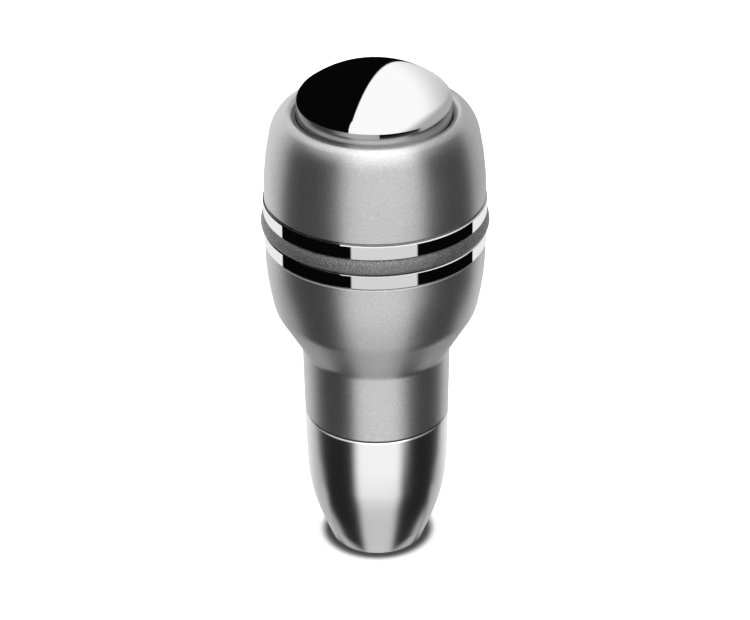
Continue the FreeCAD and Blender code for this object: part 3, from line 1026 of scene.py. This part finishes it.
def set_world():
    """White to the camera, plain and even to matt surfaces, and a studio to mirrors."""
    world = bpy.data.worlds.new("studio")
    bpy.context.scene.world = world
    world.use_nodes = True
    tree = Tree(world.node_tree)
    tree.nodes.clear()
    place = tree.add("ShaderNodeTexCoord").outputs["Generated"]
    path = tree.add("ShaderNodeLightPath").outputs
    level = studio_level(tree, place, path["Is Singular Ray"])
    bounced = tree.math("GREATER_THAN", path["Glossy Depth"], BOUNCED_FROM)
    mirrored_level = tree.times(level, tree.mix(bounced, 1.0, BOUNCED_SHARE))
    white = (1, 1, 1, 1)
    seen, plain, mirrored = (
        tree.add("ShaderNodeBackground", Color=white, Strength=strength).outputs["Background"]
        for strength in (1.0, PLAIN_LEVEL, mirrored_level)
    )
    shone = mix_light(tree, path["Is Glossy Ray"], plain, mirrored)
    whole = mix_light(tree, path["Is Camera Ray"], shone, seen)
    tree.links.new(whole, tree.add("ShaderNodeOutputWorld").inputs["Surface"])


# Floor in metres, its tone to surfaces and to the camera, and a painted shadow close round the foot
FLOOR_REACH = 3.0
FLOOR_TONE = 0.8
FLOOR_TONE_SEEN = 1.75
PAINTED_SHADOW_REACH = 0.0033
PAINTED_SHADOW_SAMPLES = 16
PAINTED_SHADOW_FADE = (0.5, 0.95, 0.08, 1.0)


def make_floor():
    """A pale floor that is white to the camera, apart from the knob's shadow on it, which is partly real
    and partly painted into its colour round the foot.
    """
    mesh = bpy.data.meshes.new("floor")
    sides = ((-1, -1), (1, -1), (1, 1), (-1, 1))
    corners = [(x * FLOOR_REACH, y * FLOOR_REACH, 0) for x, y in sides]
    mesh.from_pydata(corners, [], [(0, 1, 2, 3)])
    floor = bpy.data.objects.new("floor", mesh)
    bpy.context.scene.collection.objects.link(floor)
    floor.visible_glossy = False
    material = bpy.data.materials.new("floor_white")
    material.use_nodes = True
    tree = Tree(material.node_tree)
    tree.nodes.remove(tree.nodes["Principled BSDF"])
    seen = tree.add("ShaderNodeLightPath").outputs["Is Camera Ray"]
    # Painted shadow: the colour the camera sees darkens where ambient occlusion finds the knob's foot close
    # by
    painted_shadow_occlusion = tree.add("ShaderNodeAmbientOcclusion", samples=PAINTED_SHADOW_SAMPLES, Distance=PAINTED_SHADOW_REACH)
    painted_shadow_share = tree.ramp(painted_shadow_occlusion.outputs["AO"], *PAINTED_SHADOW_FADE)
    tone = tree.mix(seen, FLOOR_TONE, tree.times(painted_shadow_share, FLOOR_TONE_SEEN))
    matt = tree.add("ShaderNodeBsdfDiffuse", Color=tree.grey(tone))
    tree.links.new(matt.outputs["BSDF"], tree.nodes["Material Output"].inputs["Surface"])
    mesh.materials.append(material)


# Lamp: its width and height in metres, and its power in watts
LAMP_WIDTH = 0.5
LAMP_HEIGHT = 0.9
LAMP_POWER = 1.5


def make_lamp():
    """One broad lamp overhead."""
    lamp = bpy.data.lights.new("overhead", "AREA")
    lamp.shape = "DISK"
    lamp.size = LAMP_WIDTH
    lamp.energy = LAMP_POWER
    holder = bpy.data.objects.new("overhead", lamp)
    holder.location = (0, 0, LAMP_HEIGHT)
    holder.visible_glossy = False
    holder.visible_camera = False
    bpy.context.scene.collection.objects.link(holder)


def make_threads(alloy, collar_chrome):
    """The thread on the adapter's boss, and the collar's thread half a pitch above it."""
    ridge = thread_tree()
    fit(lever_hub(), "lever_adapter", alloy)
    root_r = BOSS_R - THREAD_DEPTH
    outer = thread("hub_thread", ridge, alloy, root_r, BOSS_THREAD_Z, BOSS_THREAD_TURNS, way=1)
    fit(outer, "lever_adapter", alloy, stands_for=False)
    foot = BOSS_THREAD_Z + THREAD_PITCH / 2
    turns = COLLAR_THREAD_TURNS
    inner = thread("collar_thread", ridge, collar_chrome, COLLAR_THREAD_R, foot, turns, way=-1)
    fit(inner, "collar", collar_chrome, stands_for=False)


def make_spring(steel):
    """The return spring, wound between its node's lowest and highest levels."""
    low, high = levels("return_spring")[1:]
    spring = grow(
        "wound_spring",
        spring_tree(),
        steel,
        coil_radius=COIL_R * MM,
        wire_radius=WIRE_R * MM,
        turns=COIL_TURNS,
        low=low * MM,
        high=high * MM,
    )
    fit(spring, "return_spring", steel)
    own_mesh(spring)


def finish_inner_pieces(finishes):
    """Gives the pieces that keep their first shape the finish of their slot."""
    for row in frame["record"]["subparts"]:
        if row["material_slot"] in finishes:
            node = frame["nodes"][row["node"]]
            node.data.materials.clear()
            node.data.materials.append(finishes[row["material_slot"]])


def main():
    grain = fine_grain()
    chrome = polished_chrome(grain)
    collar_chrome = soft_chrome(grain)
    satin = satin_metal(grain)
    steel = plain_steel(grain)
    alloy = turned_alloy(tool_marks())
    finishes = {
        "plain_steel": steel,
        "turned_alloy": alloy,
        "moulded_plastic": moulded("moulded_plastic", tone=0.03, rough=0.5),
        "black_rubber": moulded("black_rubber", tone=0.02, rough=0.7),
    }
    fit(button_cap(), "push_button", chrome)
    fit(upper_body(), "upper_shell", satin)
    fit(lower_body(), "lower_shell", satin)
    for node in ("upper_trim_ring", "lower_trim_ring"):
        fit(polished_ring(node), node, chrome)
    fit(polished_collar(), "collar", collar_chrome)
    fit(leather_band(), "grip_band", band_leather())
    make_threads(alloy, collar_chrome)
    make_spring(steel)
    finish_inner_pieces(finishes)
    set_camera()
    set_world()
    make_floor()
    make_lamp()
    bpy.context.scene.view_settings.view_transform = "Standard"


main()
